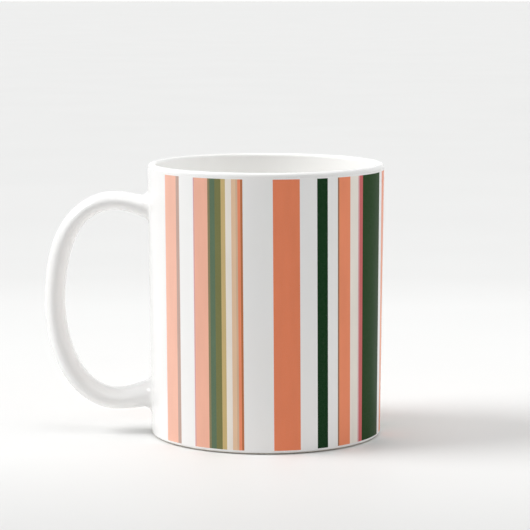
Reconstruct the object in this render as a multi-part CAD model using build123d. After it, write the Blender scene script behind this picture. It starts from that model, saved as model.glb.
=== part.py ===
"""A straight-sided 11 oz ceramic mug with a printed wrap of vertical stripes.

Millimetres, +Z up. The origin is on the cup's axis, in the plane that the foot stands on. The handle
is at -X. The mug is built from the clay outwards: biscuit cup and handle, slip joints, glaze coats, and
a clear coat over the wall and the handle, whose dyed stretches are the stripes. A length called skin
moves a surface out from the glazed size, so -GLAZE gives the clay under the glaze.
"""

import os
from math import cos, sin

from build123d import *

# Cup, over its glaze
HEIGHT = 95.0
FOOT_R = 39.95
RIM_R = 40.9
LIP_THICKNESS = 2.5
LIP_FLAT = 0.1
THROAT_Z = 82.0
THROAT_R = 37.7
THROAT_ROUND = 40.0
FLOOR_R = 36.0
FLOOR_Z = 8.0
FLOOR_ROUND = 8.0

# Foot, in bare clay
FOOT_ROUND = 1.0
FOOT_RING_R = 33.0
FOOT_RING_ROUND = 0.8
RECESS_R = 31.5
RECESS_DEPTH = 2.4
RECESS_ROUND = 1.2

# Coats
GLAZE = 0.3
GLAZE_LINE_Z = 0.8
BASE_GLAZE_R = 29.5
COAT = 0.2
COAT_LOW_Z = 1.1
COAT_HIGH_Z = 93.5

# Handle: points down the middle of the strap, from inside the wall at its top end to inside the wall
# at its bottom end
STRAP_LINE = [
    (-38.8, 79.8),
    (-45.4, 80.7),
    (-53.3, 81.8),
    (-64.3, 77.2),
    (-70.5, 67.4),
    (-73.1, 57.3),
    (-73.8, 47.6),
    (-72.9, 36.9),
    (-70.5, 27.7),
    (-65.7, 19.3),
    (-55.1, 12.4),
    (-49.4, 12.3),
    (-38.8, 13.5),
]
# Share of the way along that line, then the strap's thickness and width there
STRAP_SECTIONS = [
    (0.00, 10.4, 15.0),
    (0.06, 6.1, 13.6),
    (0.15, 6.0, 13.0),
    (0.26, 6.3, 12.6),
    (0.38, 6.8, 12.4),
    (0.50, 6.7, 12.4),
    (0.62, 6.8, 12.4),
    (0.74, 6.8, 12.5),
    (0.85, 6.9, 13.0),
    (0.94, 7.7, 13.8),
    (1.00, 10.6, 15.0),
]
SLIP_ROUND = 3.0
ROOT_WIDTH = 21.0
ROOT_HEIGHT = 18.0
ROOT_ROUND = 6.0
ROOM = 200.0

# Print, as lengths round the wall, left to right as seen from the front, where the wrap's measure is 0.
# Its stripes keep their width up the slightly conical wall, and lean a little, as a wrapped sheet does.
PRINT_LOW_Z = 1.4
PRINT_HIGH_Z = 92.9
WALL_MIDDLE_Z = 47.0
WRAP_START = -40.1
WRAP_LEAN = -0.0065
BARE = "bare"
STRIPES = [
    ("peach", 6.2),
    ("taupe", 1.6),
    (BARE, 6.4),
    ("pink", 0.5),
    ("salmon", 5.3),
    ("olive_brown", 0.8),
    ("sage", 1.9),
    ("olive", 2.2),
    ("khaki", 1.6),
    ("cream", 2.1),
    ("sand", 1.5),
    ("tan", 0.7),
    ("coral", 1.0),
    ("rust", 0.7),
    (BARE, 10.1),
    ("terracotta", 9.1),
    (BARE, 6.2),
    ("dark_green", 4.0),
    (BARE, 4.1),
    ("brown", 0.6),
    ("coral", 5.0),
    ("cream", 4.1),
    ("pink", 0.7),
    ("rose", 1.8),
    ("forest_green", 13.0),
    (BARE, 3.2),
    ("coral", 9.0),
    (BARE, 5.5),
    ("khaki", 1.8),
    ("olive", 3.6),
    ("sage", 1.6),
    (BARE, 7.1),
    ("salmon", 5.3),
    ("cream", 3.2),
    ("terracotta", 9.1),
    (BARE, 6.0),
    ("dark_green", 4.0),
    ("sand", 1.5),
    ("peach", 6.2),
    ("taupe", 1.6),
    (BARE, 6.4),
    ("forest_green", 7.5),
    ("rose", 1.8),
    ("cream", 4.1),
    ("coral", 5.0),
    ("rust", 0.7),
    (BARE, 6.2),
    ("pink", 0.5),
    ("salmon", 5.3),
    ("brown", 0.6),
    (BARE, 3.2),
    ("peach", 6.2),
]


def wall_r(z, skin=0.0):
    """Outside radius of the cup at height z."""
    return FOOT_R + (RIM_R - FOOT_R) * z / HEIGHT + skin


def turned(points, rounds=0.0):
    """The solid that a closed outline of (radius, height) points sweeps round the cup's axis."""
    outline = FilletPolyline(*points, radius=rounds, close=True)
    return revolve(Plane.XZ * make_face(outline), Axis.Z)


def cup(skin):
    """The whole cup, with its foot the same whatever the skin."""
    lip_out = wall_r(HEIGHT + skin, skin)
    lip_in = wall_r(HEIGHT) - LIP_THICKNESS - skin
    lip_round = (lip_out - lip_in - LIP_FLAT) / 2
    points_and_rounds = [
        ((0, RECESS_DEPTH), 0),
        ((RECESS_R, RECESS_DEPTH), RECESS_ROUND),
        ((FOOT_RING_R, 0), FOOT_RING_ROUND),
        ((wall_r(0, skin), 0), FOOT_ROUND),
        ((lip_out, HEIGHT + skin), lip_round),
        ((lip_in, HEIGHT + skin), lip_round),
        ((THROAT_R - skin, THROAT_Z), THROAT_ROUND),
        ((FLOOR_R - skin, FLOOR_Z + skin), FLOOR_ROUND - skin),
        ((0, FLOOR_Z + skin), 0),
    ]
    points = [point for point, _ in points_and_rounds]
    rounds = [round_ for _, round_ in points_and_rounds]
    return turned(points, rounds)


def plug(skin, low=0.0, high=HEIGHT):
    """A solid cone with the cup's outside, from one height to another."""
    return turned([(0, low), (wall_r(low, skin), low), (wall_r(high, skin), high), (0, high)])


def strap(skin):
    """The handle's strap, running into the wall at both ends."""
    line = Plane.XZ * Spline(*STRAP_LINE, tangents=[(-1, 0), (1, 0)])
    sections = []
    for share, thickness, width in STRAP_SECTIONS:
        across = Plane(origin=line @ share, x_dir=(0, 1, 0), z_dir=line % share)
        sections.append(across * Ellipse(width / 2 + skin, thickness / 2 + skin))
    return loft(sections)


def on_wall(edge, skin):
    """Whether an edge lies on the cup's outside all the way along."""
    for share in (0.1, 0.35, 0.6, 0.85):
        point = edge @ share
        if abs(Vector(point.X, point.Y).length - wall_r(point.Z, skin)) > 0.02:
            return False
    return True


def filled(skin):
    """The plug and the strap as one solid, rounded where they meet."""
    both = plug(skin) + strap(skin)
    roots = [edge for edge in both.edges() if edge.length < HEIGHT / 2 and on_wall(edge, skin)]
    return fillet(roots, SLIP_ROUND - GLAZE - skin)


def above(z):
    """All the room above a height."""
    return Pos(0, 0, z + ROOM / 2) * Box(ROOM, ROOM, ROOM)


def slip_joints(clay):
    """The two collars of slip round the handle's ends, upper then lower."""
    collars = clay - plug(-GLAZE) - strap(-GLAZE)
    return collars & above(WALL_MIDDLE_Z), collars - above(WALL_MIDDLE_Z)


def root_room(z):
    """The room round one end of the handle, with a patch of the wall there."""
    patch = Plane.YZ * Pos(0, z) * RectangleRounded(ROOT_WIDTH, ROOT_HEIGHT, ROOT_ROUND)
    return extrude(patch, -ROOM / 2)


def handle_room():
    """All the room round the handle, which its coat of glaze keeps to."""
    clear_of_wall = RIM_R + GLAZE
    room = Pos(-clear_of_wall - ROOM / 2, 0, 0) * Box(ROOM, ROOM, ROOM)
    return room + root_room(STRAP_LINE[0][1]) + root_room(STRAP_LINE[-1][1])


def glaze_coats():
    """The glaze of the outside wall and of the inside, which meet along the lip's crest."""
    coat = cup(0) - cup(-GLAZE)
    under_crest = plug(-LIP_THICKNESS / 2, 0, HEIGHT + GLAZE)
    wall = (coat & above(GLAZE_LINE_Z)) - under_crest - handle_room()
    liner = coat & under_crest & above(FLOOR_Z / 2)
    return wall, liner


def base_glaze():
    """The disc of glaze on the recess inside the foot ring."""
    low = RECESS_DEPTH - GLAZE
    return turned([(0, low), (BASE_GLAZE_R, low), (BASE_GLAZE_R + GLAZE, RECESS_DEPTH), (0, RECESS_DEPTH)])


def coat_band(low, high):
    """The clear coat on the wall, all round, between two heights."""
    points = [
        (wall_r(low), low),
        (wall_r(low, COAT), low),
        (wall_r(high, COAT), high),
        (wall_r(high), high),
    ]
    return turned(points)


def stripe_edge(at):
    """The upright cut through the wall at a length round the wrap. Shorter lengths are on its top side."""
    middle = Vector(0, 0, WALL_MIDDLE_Z)
    ends = []
    for z in (PRINT_LOW_Z, PRINT_HIGH_Z):
        radius = wall_r(z, COAT)
        angle = (at + WRAP_LEAN * (z - WALL_MIDDLE_Z)) / radius
        ends.append(Vector(radius * sin(angle), -radius * cos(angle), z) - middle)
    return Plane(origin=middle, z_dir=ends[0].cross(ends[1]))


def inks():
    """Each ink's name and its stripes, as solids."""
    band = coat_band(PRINT_LOW_Z, PRINT_HIGH_Z)
    films = {}
    at = WRAP_START
    for ink, width in STRIPES:
        if ink != BARE:
            onwards = split(band, bisect_by=stripe_edge(at), keep=Keep.BOTTOM)
            stripe = split(onwards, bisect_by=stripe_edge(at + width), keep=Keep.TOP)
            films.setdefault(ink, []).append(stripe)
        at += width
    return films


def print_coat(glazed, films):
    """The clear coat over the wall and the handle, where no ink is in it."""
    coat = (filled(COAT) - glazed) & (above(COAT_LOW_Z) - above(COAT_HIGH_Z))
    for stripes in films.values():
        coat = coat - stripes
    return coat


def main():
    """Builds every piece and writes one STEP file for each."""
    clay = filled(-GLAZE)
    glazed = filled(0)
    films = inks()
    pieces = {"cup_body": cup(-GLAZE), "handle": strap(-GLAZE) - plug(-GLAZE), "base_glaze": base_glaze()}
    pieces["upper_slip_joint"], pieces["lower_slip_joint"] = slip_joints(clay)
    pieces["wall_glaze"], pieces["liner_glaze"] = glaze_coats()
    pieces["handle_glaze"] = (glazed - clay) & handle_room()
    pieces["print_coat"] = print_coat(glazed, films)
    for ink, stripes in films.items():
        pieces["ink_" + ink] = Compound(children=stripes)
    os.makedirs("parts", exist_ok=True)
    for name, piece in pieces.items():
        export_step(piece, f"parts/{name}.step")


main()
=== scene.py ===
"""Finishes and stage for a straight-sided ceramic mug with a printed wrap of vertical stripes.

Metres, +Z up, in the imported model's own frame: the cup stands on z = 0 round the Z axis and its handle is
at -X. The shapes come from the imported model. This file gives each clay, glaze and ink its finish, models
the beads where the glaze ends on the bare foot, and sets up the floor, the lights and the camera.
"""

import math

import bpy
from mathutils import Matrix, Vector


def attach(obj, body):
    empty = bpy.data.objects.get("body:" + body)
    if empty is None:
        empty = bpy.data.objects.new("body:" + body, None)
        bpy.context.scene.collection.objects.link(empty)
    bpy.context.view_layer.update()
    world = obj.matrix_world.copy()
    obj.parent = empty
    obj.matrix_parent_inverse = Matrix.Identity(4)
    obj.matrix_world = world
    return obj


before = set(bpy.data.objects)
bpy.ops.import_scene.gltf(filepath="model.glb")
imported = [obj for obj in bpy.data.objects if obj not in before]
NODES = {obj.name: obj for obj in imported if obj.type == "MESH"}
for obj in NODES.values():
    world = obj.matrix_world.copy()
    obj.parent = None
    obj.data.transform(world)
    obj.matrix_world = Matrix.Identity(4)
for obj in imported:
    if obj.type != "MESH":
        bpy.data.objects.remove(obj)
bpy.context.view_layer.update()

bl_info = {
    "name": "Striped ceramic mug",
    "version": (1, 0, 0),
    "blender": (4, 5, 0),
    "location": "View3D > Sidebar > Mug",
    "description": "Glazes, inks, foot beads and a studio for a ceramic mug with vertical stripes",
    "category": "Object",
}

MM = 0.001
WHITE = (1.0, 1.0, 1.0, 1.0)

# Nodes that share a finish
BARE_CLAY = ("cup_body", "handle")
SLIP = ("upper_slip_joint", "lower_slip_joint")
GLAZES = ("wall_glaze", "handle_glaze", "base_glaze")
LINER = "liner_glaze"
COAT = "print_coat"
INK_PREFIX = "ink_"

# Beads: the coats whose lower edge ends in one, how far above the edge a point still counts as on it, the
# sides of a bead's round, and how near points are that become one
BEADED = ("wall_glaze", "base_glaze")
EDGE_MARGIN = 0.02 * MM
BEAD_SIDES = 14
WELD = 0.001 * MM

# A noise keeps mostly between these levels, and the narrower pair turns it into patches
LOW, HIGH = 0.3, 0.7
PATCH_LOW, PATCH_HIGH = 0.35, 0.65
SCUFF_LOW, SCUFF_HIGH = 0.45, 0.6

# Details that don't change from one glaze or ink to the next
FINE = 3.0
FINEST = 4.0
PINHOLE_STRENGTH = 0.25
BAND_STRETCH = (6.0, 6.0, 1.0)
CLAY_BLOTCH = 0.1
MATT_SHINE = 0.3

# The floor and what stands on it
FLOOR_WIDTH = 16.0
FLOOR_CLOUD = 120.0 * MM
FLOOR_CLOUD_SHARE = 0.03
FLOOR_GRAIN = 4.0 * MM
FLOOR_GRAIN_DEPTH = 0.02 * MM
FLOOR_ROUGHNESS = 0.6
LIGHT_BOUNCES = 8
NEAREST_SEEN = 10.0 * MM


def opaque(colour):
    """A colour with full alpha, as colour sockets take it."""
    return (colour[0], colour[1], colour[2], 1.0)


def darker(colour, share):
    """The colour with that share of its light taken away."""
    return (colour[0] * (1 - share), colour[1] * (1 - share), colour[2] * (1 - share))


def warmer(colour, share):
    """The colour with a little of its green and more of its blue taken away."""
    return (colour[0], colour[1] * (1 - share / 2), colour[2] * (1 - share))


# Materials


class Finish:
    """A material under construction: its node tree, its shader and the places that its patterns read."""

    def __init__(self, name):
        self.material = bpy.data.materials.new(name)
        self.material.use_nodes = True
        self.tree = self.material.node_tree
        self.shader = self.tree.nodes["Principled BSDF"]
        self.places = self.node("ShaderNodeTexCoord").outputs["Object"]

    def node(self, kind, **settings):
        """A new node with those settings."""
        node = self.tree.nodes.new(kind)
        for setting, value in settings.items():
            setattr(node, setting, value)
        return node

    def join(self, output, socket):
        """Feeds a socket from an output, or gives it a plain value."""
        if isinstance(output, bpy.types.NodeSocket):
            self.tree.links.new(output, socket)
        else:
            socket.default_value = output

    def stretched(self, scale):
        """The places with each axis multiplied, so that a pattern is drawn out or pressed together."""
        mapping = self.node("ShaderNodeMapping")
        self.join(self.places, mapping.inputs["Vector"])
        mapping.inputs["Scale"].default_value = scale
        return mapping.outputs["Vector"]

    def cloud(self, size, detail=2.0, roughness=0.5, places=None):
        """A noise from 0 to 1 whose lumps are about that size, in metres."""
        noise = self.node("ShaderNodeTexNoise")
        self.join(places or self.places, noise.inputs["Vector"])
        noise.inputs["Scale"].default_value = 1 / size
        noise.inputs["Detail"].default_value = detail
        noise.inputs["Roughness"].default_value = roughness
        return noise.outputs["Fac"]

    def dots(self, size):
        """How far the nearest of some scattered dots is, in shares of their spacing."""
        cells = self.node("ShaderNodeTexVoronoi")
        self.join(self.places, cells.inputs["Vector"])
        cells.inputs["Scale"].default_value = 1 / size
        return cells.outputs["Distance"]

    def spread(self, value, low, high, to_low=0.0, to_high=1.0):
        """A value taken from one span to another and held at its ends."""
        span = self.node("ShaderNodeMapRange")
        self.join(value, span.inputs["Value"])
        span.inputs["From Min"].default_value = low
        span.inputs["From Max"].default_value = high
        span.inputs["To Min"].default_value = to_low
        span.inputs["To Max"].default_value = to_high
        return span.outputs["Result"]

    def sums(self, operation, first, second):
        """Two values put together by a maths operation."""
        maths = self.node("ShaderNodeMath", operation=operation)
        self.join(first, maths.inputs[0])
        self.join(second, maths.inputs[1])
        return maths.outputs["Value"]

    def mixed(self, share, first, second):
        """One colour turning into another by share."""
        mix = self.node("ShaderNodeMix", data_type="RGBA")
        self.join(share, mix.inputs["Factor"])
        self.join(first, mix.inputs["A"])
        self.join(second, mix.inputs["B"])
        return mix.outputs["Result"]

    def height(self):
        """Each place's height above the floor, in metres."""
        axes = self.node("ShaderNodeSeparateXYZ")
        self.join(self.places, axes.inputs["Vector"])
        return axes.outputs["Z"]

    def bump(self, heights, distance, under=None):
        """Normals for a relief of that depth in metres, laid on top of another relief."""
        bump = self.node("ShaderNodeBump")
        self.join(heights, bump.inputs["Height"])
        bump.inputs["Distance"].default_value = distance
        if under is not None:
            self.join(under, bump.inputs["Normal"])
        return bump.outputs["Normal"]

    def finish(self, colour, roughness, normal, shine):
        """Joins the patterns to the shader and gives back the material."""
        self.shader.inputs["Specular IOR Level"].default_value = shine
        self.join(colour, self.shader.inputs["Base Color"])
        self.join(roughness, self.shader.inputs["Roughness"])
        self.join(normal, self.shader.inputs["Normal"])
        return self.material


def glaze_material(name, settings, white, gloss):
    """White glaze: slow waves and a fine orange peel, a few sunk pinholes, warmer where it is thin."""
    made = Finish(name)
    body = made.cloud(settings.cloud_size)
    thin = made.spread(body, LOW, HIGH)
    tone = made.mixed(thin, opaque(white), opaque(warmer(white, settings.thin_share)))
    pinhole = made.spread(made.dots(settings.pinhole_spacing), 0.0, settings.pinhole_share, 1.0, 0.0)
    tone = made.mixed(made.sums("MULTIPLY", pinhole, PINHOLE_STRENGTH), tone, opaque(settings.speck))
    waves = made.bump(made.cloud(settings.wave_size), settings.wave_depth)
    peel = made.bump(made.cloud(settings.peel_size, FINE), settings.peel_depth, waves)
    normal = made.bump(made.sums("SUBTRACT", 1.0, pinhole), settings.pinhole_depth, peel)
    smears = made.cloud(settings.wave_size / 2, FINEST)
    rough = made.spread(smears, LOW, HIGH, gloss * 0.8, gloss * 1.25)
    return made.finish(tone, rough, normal, settings.shine)


def ink_material(name, colour, settings, glaze):
    """Dye in the clear coat: an uneven tone down the stripe, a fine grain of dye, and the coat's gloss."""
    made = Finish(name)
    bands = made.cloud(settings.band_length, FINE, places=made.stretched(BAND_STRETCH))
    deep = made.spread(bands, LOW, HIGH)
    tone = made.mixed(deep, opaque(colour), opaque(darker(colour, settings.band_share)))
    grain = made.spread(made.cloud(settings.grain_size), PATCH_LOW, PATCH_HIGH)
    tone = made.mixed(made.sums("MULTIPLY", grain, settings.grain_share), tone, WHITE)
    waves = made.bump(made.cloud(glaze.wave_size), glaze.wave_depth)
    normal = made.bump(made.cloud(glaze.peel_size, FINE), glaze.peel_depth, waves)
    gloss = settings.gloss
    smears = made.cloud(settings.grain_size * 8, FINE)
    rough = made.spread(smears, LOW, HIGH, gloss * 0.85, gloss * 1.2)
    return made.finish(tone, rough, normal, settings.shine)


def clay_material(name, settings, grit_depth):
    """Fired clay without glaze: warm, matt and gritty, darker in patches at the very bottom of the foot,
    where it stands on the floor.
    """
    made = Finish(name)
    blotches = made.spread(made.cloud(settings.blotch_size, FINE), LOW, HIGH)
    tone = made.mixed(blotches, opaque(settings.biscuit), opaque(darker(settings.biscuit, CLAY_BLOTCH)))
    # Darker clay in patches over the lowest part of the foot
    foot_darkening = made.spread(made.height(), 0.0, settings.foot_darkening_height, 1.0, 0.0)
    scuffs = made.spread(made.cloud(settings.grit_size * 4, FINEST), SCUFF_LOW, SCUFF_HIGH)
    tone = made.mixed(made.sums("MULTIPLY", foot_darkening, scuffs), tone, opaque(settings.foot_darkening))
    grit = made.cloud(settings.grit_size, FINEST, roughness=0.65)
    normal = made.bump(grit, grit_depth)
    rough = made.spread(grit, LOW, HIGH, 0.75, 0.95)
    return made.finish(tone, rough, normal, MATT_SHINE)


def floor_material(settings):
    """A pale floor, with painted shade that makes it a little deeper in tone beyond the mug and before it."""
    made = Finish("pale_floor")
    axes = made.node("ShaderNodeSeparateXYZ")
    made.join(made.places, axes.inputs["Vector"])
    # Painted shade: deeper beyond the mug, standing in for the dimmer far floor towards the horizon
    beyond = made.spread(axes.outputs["Y"], settings.far_painted_shade_start, settings.far_painted_shade_end)
    tone = made.mixed(beyond, opaque(settings.floor), opaque(darker(settings.floor, settings.far_painted_shade_share)))
    # Painted shade: deeper before the mug, standing in for the dimmer floor on the camera's side, which the
    # glaze also reflects
    before = made.spread(axes.outputs["Y"], -settings.near_painted_shade_start, -settings.near_painted_shade_end)
    tone = made.mixed(before, tone, opaque(darker(settings.floor, settings.near_painted_shade_share)))
    clouds = made.cloud(FLOOR_CLOUD, FINEST)
    clouds = made.spread(clouds, PATCH_LOW, PATCH_HIGH, 0.0, FLOOR_CLOUD_SHARE)
    tone = made.mixed(clouds, tone, opaque(darker(settings.floor, 0.5)))
    normal = made.bump(made.cloud(FLOOR_GRAIN, FINE), FLOOR_GRAIN_DEPTH)
    return made.finish(tone, FLOOR_ROUGHNESS, normal, MATT_SHINE)


# Beads


def lower_edge(name):
    """Radius and height of the lower edge of a coat that goes round the cup's axis."""
    points = [vertex.co for vertex in NODES[name].data.vertices]
    low = min(point.z for point in points)
    radius = max(math.hypot(point.x, point.y) for point in points if point.z < low + EDGE_MARGIN)
    return radius, low


def bead(name, radius, height, settings):
    """A ring of glaze round the cup's axis: a small round, squeezed narrower, spun and made uneven."""
    bpy.ops.object.select_all(action="DESELECT")
    bpy.ops.mesh.primitive_circle_add(
        vertices=BEAD_SIDES,
        radius=settings.thickness / 2,
        location=(radius, 0.0, height),
        rotation=(math.pi / 2, 0.0, 0.0),
    )
    ring = bpy.context.active_object
    ring.name = name
    bpy.ops.object.transform_apply(location=True, rotation=True, scale=True)
    bpy.ops.object.mode_set(mode="EDIT")
    bpy.ops.mesh.select_all(action="SELECT")
    narrower = (1 - settings.squeeze, 1.0, 1.0)
    bpy.ops.transform.resize(value=narrower, center_override=(radius, 0.0, height))
    bpy.ops.mesh.spin(
        steps=settings.steps, angle=2 * math.pi, center=(0.0, 0.0, 0.0), axis=(0.0, 0.0, 1.0)
    )
    bpy.ops.mesh.select_all(action="SELECT")
    bpy.ops.mesh.remove_doubles(threshold=WELD)
    bpy.ops.mesh.normals_make_consistent(inside=False)
    bpy.ops.object.mode_set(mode="OBJECT")
    drips = bpy.data.textures.new(name + "_drips", "CLOUDS")
    drips.noise_scale = settings.drip_size
    uneven = ring.modifiers.new("uneven", "DISPLACE")
    uneven.texture = drips
    uneven.strength = settings.drip_depth
    bpy.ops.object.modifier_apply(modifier=uneven.name)
    bpy.data.textures.remove(drips)
    bpy.ops.object.shade_smooth()
    return ring


def wear(names, material):
    """Puts one material on every slot of those nodes."""
    for name in names:
        for slot in NODES[name].material_slots:
            slot.material = material


# Settings


def size(name, description, millimetres):
    """A length setting, given in millimetres and kept in metres."""
    return bpy.props.FloatProperty(
        name=name,
        description=description,
        default=millimetres * MM,
        min=0.0,
        precision=5,
        subtype="DISTANCE",
        unit="LENGTH",
    )


def share(name, description, default):
    """A setting from 0 to 1."""
    return bpy.props.FloatProperty(
        name=name, description=description, default=default, min=0.0, max=1.0, subtype="FACTOR"
    )


def strength(name, description, default):
    """A strength of light."""
    return bpy.props.FloatProperty(name=name, description=description, default=default, min=0.0)


def angle(name, description, degrees):
    """An angle, given in degrees and kept in radians."""
    return bpy.props.FloatProperty(
        name=name, description=description, default=math.radians(degrees), subtype="ANGLE", unit="ROTATION"
    )


def colour(name, description, default):
    """A colour setting."""
    return bpy.props.FloatVectorProperty(
        name=name, description=description, default=default, size=3, min=0.0, max=1.0, subtype="COLOR"
    )


class GlazeSettings(bpy.types.PropertyGroup):
    """The white glaze and the clear coat over it."""

    white: colour("White", "Glaze and clear coat outside", (0.92, 0.92, 0.915))
    # The inside white is painted light: a lighter copy of the same white glaze, so the inside of the cup
    # looks more brightly lit
    liner_white: colour("Inside white", "Glaze inside the cup", (0.965, 0.965, 0.955))
    thin_share: share("Thin glaze", "How much warmer the glaze is where it is thin", 0.015)
    speck: colour("Speck", "The shade in a pinhole", (0.45, 0.42, 0.38))
    gloss: share("Roughness", "Roughness of the fired glaze", 0.08)
    shine: share("Shine", "How strongly the glaze reflects", 0.5)
    coat_gloss: share("Coat roughness", "Roughness of the clear print coat", 0.12)
    cloud_size: size("Cloud size", "Size of the slow changes in tone", 22.0)
    wave_size: size("Wave size", "Size of the slow waves in the surface", 14.0)
    wave_depth: size("Wave depth", "Depth of the slow waves", 0.05)
    peel_size: size("Peel size", "Size of the fine orange peel", 1.3)
    peel_depth: size("Peel depth", "Depth of the orange peel", 0.004)
    pinhole_spacing: size("Pinhole spacing", "About how far apart the pinholes are", 9.0)
    pinhole_share: share("Pinhole width", "Width of a pinhole as a share of their spacing", 0.02)
    pinhole_depth: size("Pinhole depth", "Depth of a pinhole", 0.02)


class BeadSettings(bpy.types.PropertyGroup):
    """The beads that the glaze draws back into where it meets bare clay."""

    thickness: size("Thickness", "Thickness of a bead", 0.6)
    sunk: size("Sunk", "How far a bead's middle lies inside the glaze's edge", 0.13)
    squeeze: share("Squeeze", "How much narrower a bead is than it is high", 0.15)
    drip_size: size("Drip size", "Size of the uneven places along a bead", 5.0)
    drip_depth: size("Drip depth", "How far they stand out", 0.12)
    steps: bpy.props.IntProperty(name="Steps", description="Segments round a bead", default=240, min=12)


class InkSettings(bpy.types.PropertyGroup):
    """The colours of the printed stripes, left to right from the handle, and how the dye lies."""

    peach: colour("Peach", "Ink of the peach stripes", (0.925, 0.535, 0.415))
    taupe: colour("Taupe", "Ink of the taupe line beside the peach stripe", (0.575, 0.402, 0.346))
    pink: colour("Pink", "Ink of the pink hairlines", (0.76, 0.405, 0.415))
    salmon: colour("Salmon", "Ink of the salmon stripes", (0.93, 0.495, 0.367))
    olive_brown: colour("Olive brown", "Ink of the line beside the salmon stripe", (0.28, 0.23, 0.12))
    sage: colour("Sage", "Ink of the grey-green stripes", (0.126, 0.194, 0.119))
    olive: colour("Olive", "Ink of the olive stripes", (0.207, 0.207, 0.079))
    khaki: colour("Khaki", "Ink of the khaki stripes", (0.64, 0.482, 0.216))
    cream: colour("Cream", "Ink of the cream stripes", (0.92, 0.86, 0.785))
    sand: colour("Sand", "Ink of the sand stripes", (0.85, 0.59, 0.395))
    tan: colour("Tan", "Ink of the tan line", (0.74, 0.51, 0.35))
    coral: colour("Coral", "Ink of the coral stripes", (0.93, 0.305, 0.162))
    rust: colour("Rust", "Ink of the rust line", (0.525, 0.18, 0.067))
    terracotta: colour("Terracotta", "Ink of the broad terracotta stripes", (0.905, 0.267, 0.131))
    dark_green: colour("Dark green", "Ink of the darkest green stripes", (0.003, 0.037, 0.007))
    brown: colour("Brown", "Ink of the brown line", (0.39, 0.19, 0.11))
    rose: colour("Rose", "Ink of the rose lines", (0.665, 0.157, 0.154))
    forest_green: colour("Forest green", "Ink of the broad green stripes", (0.018, 0.058, 0.013))
    gloss: share("Roughness", "Roughness of the coat over the dye", 0.13)
    shine: share("Shine", "How strongly the coat over the dye reflects", 0.02)
    band_length: size("Band length", "Length of the uneven tones down a stripe", 24.0)
    band_share: share("Band depth", "How much darker the dye gets along a stripe", 0.06)
    grain_size: size("Grain size", "Size of the grain of the dye", 0.25)
    grain_share: share("Grain", "How much the grain pales the dye", 0.02)


class ClaySettings(bpy.types.PropertyGroup):
    """The fired clay, seen on the foot."""

    biscuit: colour("Biscuit", "Clay after firing", (0.74, 0.70, 0.64))
    # The darker clay in patches at the very bottom of the foot
    foot_darkening: colour("Rubbed", "Clay where the foot has stood and slid", (0.50, 0.46, 0.41))
    blotch_size: size("Blotch size", "Size of the changes in the clay's tone", 7.0)
    grit_size: size("Grit size", "Size of the grit", 0.35)
    grit_depth: size("Grit depth", "Depth of the grit on the bare foot", 0.03)
    slip_depth: size("Slip depth", "Depth of the brush marks in the slip", 0.05)
    # How far up from the floor the darker clay reaches
    foot_darkening_height: size("Rub height", "How far up the foot the rubbing reaches", 0.6)


class StageSettings(bpy.types.PropertyGroup):
    """The floor, the lights and the camera."""

    floor: colour("Floor", "Colour of the floor", (0.825, 0.827, 0.82))
    # Painted shade on the floor beyond the mug: where it starts, where it ends and how deep it is
    far_painted_shade_start: size("Far tone starts", "Distance beyond the mug where the floor gets deeper", 300.0)
    far_painted_shade_end: size("Far tone ends", "Distance beyond the mug where it stops", 400.0)
    far_painted_shade_share: share("Far tone", "How much deeper the floor is beyond", 0.06)
    # Painted shade on the floor before the mug: where it starts, where it ends and how deep it is
    near_painted_shade_start: size("Near tone starts", "Distance before the mug where the floor gets deeper", 40.0)
    near_painted_shade_end: size("Near tone ends", "Distance before the mug where it stops", 160.0)
    near_painted_shade_share: share("Near tone", "How much deeper the floor is before the mug", 0.2)
    air_above: strength("Air above", "Light from overhead", 0.65)
    air_beyond: strength("Air beyond", "Light from beyond the mug, at the horizon", 1.12)
    air_before: strength("Air before", "Light from the camera's side, at the horizon", 0.02)
    key: strength("Key light", "Strength of the light at the handle's side", 1.92)
    key_height: angle("Key height", "Height of the key light above the floor", 45.0)
    key_turn: angle("Key turn", "How far the key light is turned towards the camera", 2.0)
    key_spread: angle("Key spread", "How wide the key light looks from the mug", 30.0)
    fill: strength("Fill light", "Strength of the light across from the key light", 0.36)
    fill_height: angle("Fill height", "Height of the fill light above the floor", 30.0)
    fill_turn: angle("Fill turn", "How far the fill light is turned towards the camera", 10.0)
    fill_spread: angle("Fill spread", "How wide the fill light looks from the mug", 60.0)
    top: strength("Top light", "Power of the soft light over the mug", 0.86)
    top_size: size("Top size", "Width of the light over the mug", 350.0)
    top_height: size("Top height", "Height of the light over the mug", 750.0)
    top_lead: size("Top lead", "How far that light stands towards the camera", 150.0)
    camera_distance: size("Camera distance", "From the camera to the point it looks at", 822.0)
    camera_height: size("Aim height", "Height of that point above the floor", 59.1)
    camera_side: size("Aim side", "How far towards the handle that point is", 0.33)
    camera_pitch: angle("Camera pitch", "How far the camera looks down", 7.48)
    camera_lens: bpy.props.FloatProperty(
        name="Lens", description="Focal length", default=159.8, unit="CAMERA"
    )


# Operators


class MUG_OT_clay(bpy.types.Operator):
    """Gives the cup, the handle and the slip between them their fired clay."""

    bl_idname = "mug.clay"
    bl_label = "Fire the clay"

    def execute(self, context):
        settings = context.scene.mug_clay
        wear(BARE_CLAY, clay_material("fired_clay", settings, settings.grit_depth))
        wear(SLIP, clay_material("fired_slip", settings, settings.slip_depth))
        return {"FINISHED"}


class MUG_OT_glaze(bpy.types.Operator):
    """Gives the wall, the handle and the base their white glaze, and the inside a lighter copy of it as
    painted light.
    """

    bl_idname = "mug.glaze"
    bl_label = "Glaze the mug"

    def execute(self, context):
        settings = context.scene.mug_glaze
        wear(GLAZES, glaze_material("white_glaze", settings, settings.white, settings.gloss))
        # Painted light: the inside gets a lighter copy of the white glaze
        wear([LINER], glaze_material("liner_white_glaze", settings, settings.liner_white, settings.gloss))
        return {"FINISHED"}


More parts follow.
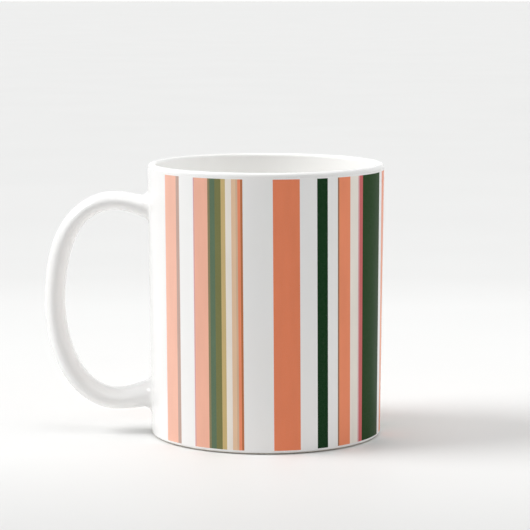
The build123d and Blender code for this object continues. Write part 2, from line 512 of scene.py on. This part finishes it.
class MUG_OT_beads(bpy.types.Operator):
    """Models the bead of glaze at each edge where it meets bare clay, on the foot and under the base."""

    bl_idname = "mug.beads"
    bl_label = "Add the glaze beads"

    def execute(self, context):
        settings = context.scene.mug_beads
        for name in BEADED:
            radius, height = lower_edge(name)
            ring = bead(name + "_bead", radius - settings.sunk, height + settings.sunk, settings)
            ring.data.materials.append(NODES[name].material_slots[0].material)
            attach(ring, "root")
        return {"FINISHED"}


class MUG_OT_print(bpy.types.Operator):
    """Gives the clear coat and each ink of the stripes their finish."""

    bl_idname = "mug.print"
    bl_label = "Print the stripes"

    def execute(self, context):
        glaze = context.scene.mug_glaze
        inks = context.scene.mug_inks
        wear([COAT], glaze_material("clear_coat_over_white", glaze, glaze.white, glaze.coat_gloss))
        for name in sorted(NODES):
            if name.startswith(INK_PREFIX):
                ink = name[len(INK_PREFIX):]
                wear([name], ink_material("dyed_" + ink, getattr(inks, ink), inks, glaze))
        return {"FINISHED"}


def air_world(settings):
    """Light from all round: brightest overhead, bright beyond the mug and dim on the camera's side."""
    world = bpy.data.worlds.new("air")
    world.use_nodes = True
    tree = world.node_tree
    direction = tree.nodes.new("ShaderNodeTexCoord").outputs["Generated"]
    axes = tree.nodes.new("ShaderNodeSeparateXYZ")
    tree.links.new(direction, axes.inputs["Vector"])
    level = tree.nodes.new("ShaderNodeMapRange")
    tree.links.new(axes.outputs["Y"], level.inputs["Value"])
    level.inputs["From Min"].default_value = -1.0
    level.inputs["To Min"].default_value = settings.air_before
    level.inputs["To Max"].default_value = settings.air_beyond
    height = tree.nodes.new("ShaderNodeMapRange")
    tree.links.new(axes.outputs["Z"], height.inputs["Value"])
    tree.links.new(level.outputs["Result"], height.inputs["To Min"])
    height.inputs["To Max"].default_value = settings.air_above
    background = tree.nodes["Background"]
    background.inputs["Color"].default_value = WHITE
    tree.links.new(height.outputs["Result"], background.inputs["Strength"])
    return world


def lamp(name, kind, energy):
    """A new light of that kind and strength."""
    light = bpy.data.lights.new(name, kind)
    light.energy = energy
    placed = bpy.data.objects.new(name, light)
    bpy.context.scene.collection.objects.link(placed)
    return placed


class MUG_OT_stage(bpy.types.Operator):
    """Sets out the pale floor, the soft lights and the camera."""

    bl_idname = "mug.stage"
    bl_label = "Set the stage"

    def execute(self, context):
        settings = context.scene.mug_stage
        bpy.ops.object.select_all(action="DESELECT")
        bpy.ops.mesh.primitive_plane_add(size=FLOOR_WIDTH)
        floor = context.active_object
        floor.name = "floor"
        floor.data.materials.append(floor_material(settings))

        context.scene.world = air_world(settings)
        context.scene.cycles.diffuse_bounces = LIGHT_BOUNCES
        context.scene.view_settings.view_transform = "Standard"
        key = lamp("key_light", "SUN", settings.key)
        key.data.angle = settings.key_spread
        key.rotation_euler = (0.0, settings.key_height - math.pi / 2, settings.key_turn)
        fill = lamp("fill_light", "SUN", settings.fill)
        fill.data.angle = settings.fill_spread
        fill.rotation_euler = (0.0, math.pi / 2 - settings.fill_height, -settings.fill_turn)
        fill.visible_glossy = False  # it lifts the shaded side and makes no highlight
        top = lamp("top_light", "AREA", settings.top)
        top.data.size = settings.top_size
        top.location = (0.0, -settings.top_lead, settings.top_height)
        top.rotation_euler = (-math.atan2(settings.top_lead, settings.top_height), 0.0, 0.0)

        pitch = settings.camera_pitch
        aim = Vector((-settings.camera_side, 0.0, settings.camera_height))
        back = Vector((0.0, -math.cos(pitch), math.sin(pitch)))
        camera = bpy.data.objects.new("camera", bpy.data.cameras.new("camera"))
        camera.data.lens = settings.camera_lens
        camera.data.clip_start = NEAREST_SEEN
        camera.location = aim + settings.camera_distance * back
        camera.rotation_euler = (math.pi / 2 - pitch, 0.0, 0.0)
        context.scene.collection.objects.link(camera)
        context.scene.camera = camera
        return {"FINISHED"}


class MUG_PT_steps(bpy.types.Panel):
    """Lists the steps in the order that they run."""

    bl_idname = "MUG_PT_steps"
    bl_label = "Striped mug"
    bl_space_type = "VIEW_3D"
    bl_region_type = "UI"
    bl_category = "Mug"

    def draw(self, context):
        for step in STEPS:
            self.layout.operator(step.bl_idname)


SETTINGS = {
    "mug_clay": ClaySettings,
    "mug_glaze": GlazeSettings,
    "mug_beads": BeadSettings,
    "mug_inks": InkSettings,
    "mug_stage": StageSettings,
}
STEPS = (MUG_OT_clay, MUG_OT_glaze, MUG_OT_beads, MUG_OT_print, MUG_OT_stage)


def register():
    """Adds the settings, the operators and the panel to Blender."""
    for name, group in SETTINGS.items():
        bpy.utils.register_class(group)
        setattr(bpy.types.Scene, name, bpy.props.PointerProperty(type=group))
    for step in STEPS:
        bpy.utils.register_class(step)
    bpy.utils.register_class(MUG_PT_steps)


def unregister():
    """Takes them away again."""
    bpy.utils.unregister_class(MUG_PT_steps)
    for step in reversed(STEPS):
        bpy.utils.unregister_class(step)
    for name, group in SETTINGS.items():
        delattr(bpy.types.Scene, name)
        bpy.utils.unregister_class(group)


def main():
    """Runs every step."""
    register()
    bpy.ops.mug.clay()
    bpy.ops.mug.glaze()
    bpy.ops.mug.beads()
    bpy.ops.mug.print()
    bpy.ops.mug.stage()


if __name__ == "__main__":
    main()
